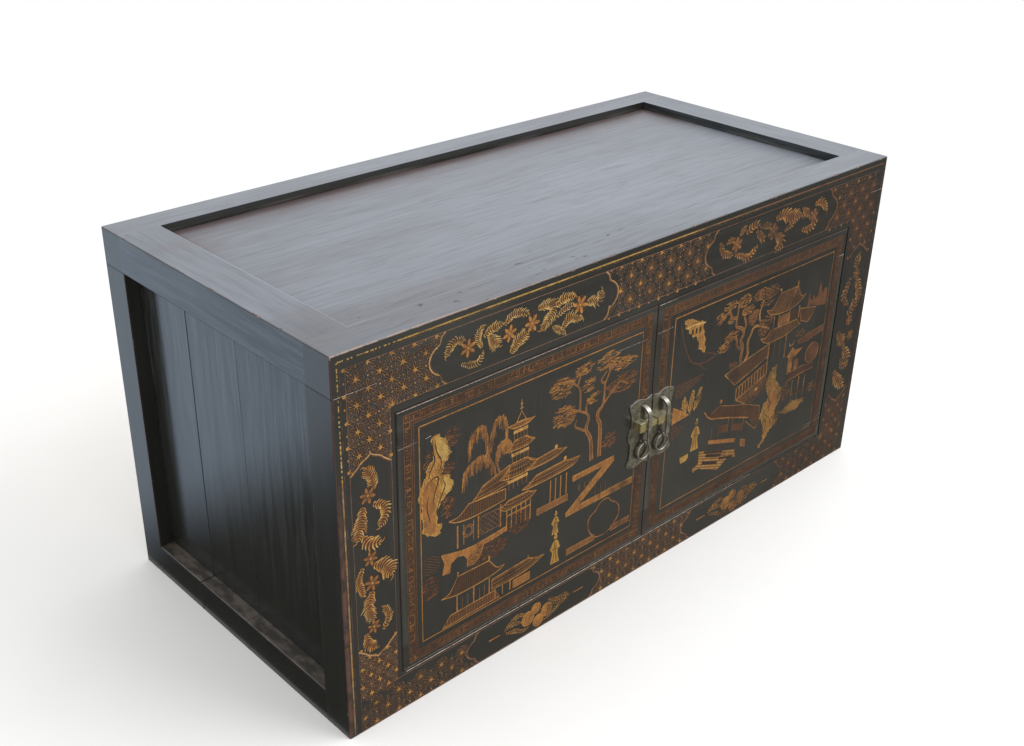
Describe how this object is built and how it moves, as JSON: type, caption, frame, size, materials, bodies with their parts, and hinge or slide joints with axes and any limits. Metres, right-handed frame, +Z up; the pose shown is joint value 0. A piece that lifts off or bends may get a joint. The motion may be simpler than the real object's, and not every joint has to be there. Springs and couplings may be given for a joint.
{
  "type": "low two-door cabinet",
  "caption": "Low wide black-lacquer cabinet with a sunk frame-and-panel top, recessed board sides, pivot-hung gilt-decorated doors, a scalloped lock plate and ring pulls.",
  "frame": {"origin": "on the floor, under the middle of the whole box round the cabinet and its lock fitting", "axes": "+Z up, the doors face -Y, +X to the right of someone facing the doors"},
  "size_m": [1.05, 0.515, 0.521],
  "materials": {
    "black_lacquer": "aged warm-black lacquer on timber, worn at the edges, gilt and red painted ornament on the front",
    "inner_softwood": "bare aged softwood",
    "pivot_hardwood": "smooth dark hardwood",
    "aged_brass": "aged greenish-brown brass with rubbed highlights",
    "yellow_brass": "handled yellow brass"
  },
  "bodies": {
    "carcass": {"front_left_post": "black_lacquer", "front_right_post": "black_lacquer", "back_left_post": "black_lacquer", "back_right_post": "black_lacquer", "top_front_rail": "black_lacquer", "top_back_rail": "black_lacquer", "top_left_rail": "black_lacquer", "top_right_rail": "black_lacquer", "top_front_board": "black_lacquer", "top_back_board": "black_lacquer", "top_left_batten": "inner_softwood", "top_right_batten": "inner_softwood", "head_rail": "black_lacquer", "front_sill": "black_lacquer", "back_sill": "black_lacquer", "left_side_sill": "black_lacquer", "right_side_sill": "black_lacquer", "left_side_board_front": "black_lacquer", "left_side_board_middle": "black_lacquer", "left_side_board_back": "black_lacquer", "right_side_board_front": "black_lacquer", "right_side_board_middle": "black_lacquer", "right_side_board_back": "black_lacquer", "back_board_left": "inner_softwood", "back_board_middle": "inner_softwood", "back_board_right": "inner_softwood", "floor_board_front": "inner_softwood", "floor_board_middle": "inner_softwood", "floor_board_back": "inner_softwood", "floor_bearer": "inner_softwood", "door_stop": "inner_softwood"},
    "left_door": {"left_door_top_rail": "black_lacquer", "left_door_bottom_rail": "black_lacquer", "left_door_hinge_stile": "black_lacquer", "left_door_lock_stile": "black_lacquer", "left_door_panel": "black_lacquer", "left_door_batten": "inner_softwood", "left_door_top_pivot": "pivot_hardwood", "left_door_bottom_pivot": "pivot_hardwood", "left_lock_plate": "aged_brass", "left_plate_nails": "aged_brass", "left_lock_loop": "aged_brass", "left_ring_eye": "aged_brass"},
    "right_door": {"right_door_top_rail": "black_lacquer", "right_door_bottom_rail": "black_lacquer", "right_door_hinge_stile": "black_lacquer", "right_door_lock_stile": "black_lacquer", "right_door_panel": "black_lacquer", "right_door_batten": "inner_softwood", "right_door_top_pivot": "pivot_hardwood", "right_door_bottom_pivot": "pivot_hardwood", "right_lock_plate": "aged_brass", "right_plate_nails": "aged_brass", "right_lock_loop": "aged_brass", "right_ring_eye": "aged_brass", "lock_sleeve": "yellow_brass"},
    "left_ring": {"left_ring_pull": "aged_brass"},
    "right_ring": {"right_ring_pull": "aged_brass"},
    "lock_bolt": {"lock_bolt": "yellow_brass"}
  },
  "joints": [
    {"name": "left_door_hinge", "type": "hinge", "parent": "carcass", "child": "left_door", "pos_m": [-0.4215, -0.2315, 0.2], "axis": [0, 0, -1], "range_deg": [0, 130]},
    {"name": "right_door_hinge", "type": "hinge", "parent": "carcass", "child": "right_door", "pos_m": [0.4215, -0.2315, 0.2], "axis": [0, 0, 1], "range_deg": [0, 130]},
    {"name": "left_ring_swing", "type": "hinge", "parent": "left_door", "child": "left_ring", "pos_m": [-0.019, -0.24865, 0.2242], "axis": [-1, 0, 0], "range_deg": [-5, 100]},
    {"name": "right_ring_swing", "type": "hinge", "parent": "right_door", "child": "right_ring", "pos_m": [0.019, -0.24865, 0.2242], "axis": [-1, 0, 0], "range_deg": [-5, 100]},
    {"name": "lock_bolt_slide", "type": "slide", "parent": "left_door", "child": "lock_bolt", "axis": [-1, 0, 0], "range_m": [-0.014, 0.01]}
  ]
}
